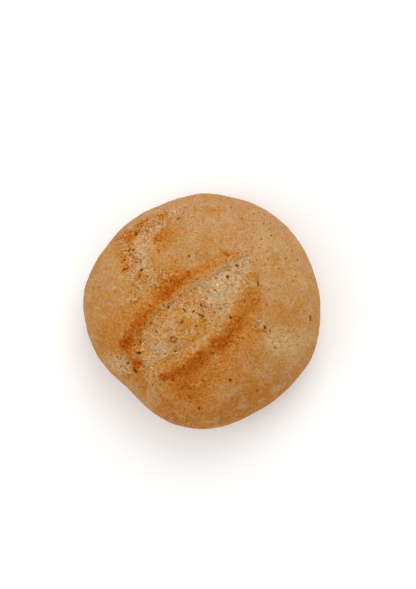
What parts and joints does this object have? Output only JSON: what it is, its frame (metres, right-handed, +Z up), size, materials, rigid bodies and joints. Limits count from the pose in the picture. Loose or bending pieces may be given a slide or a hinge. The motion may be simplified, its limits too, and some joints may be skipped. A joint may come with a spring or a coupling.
{
  "type": "country loaf",
  "caption": "Small round country loaf: a low dome with a flat underside, its top burst open along one long slash, with a small tear on the shoulder.",
  "frame": {"origin": "middle of the loaf's box on its flat underside", "axes": "+Z up out of the dome; +Y away from the viewer and +X to the right as the loaf was seen from above, so the slash runs from -X -Y to +X +Y, about 41 degrees from +X"},
  "size_m": [0.1652, 0.1642, 0.0775],
  "materials": {
    "baked_crust": "matt, golden tan and mottled, orange brown along the slash and pale inside it"
  },
  "bodies": {
    "root": {"loaf": "baked_crust"}
  },
  "joints": []
}
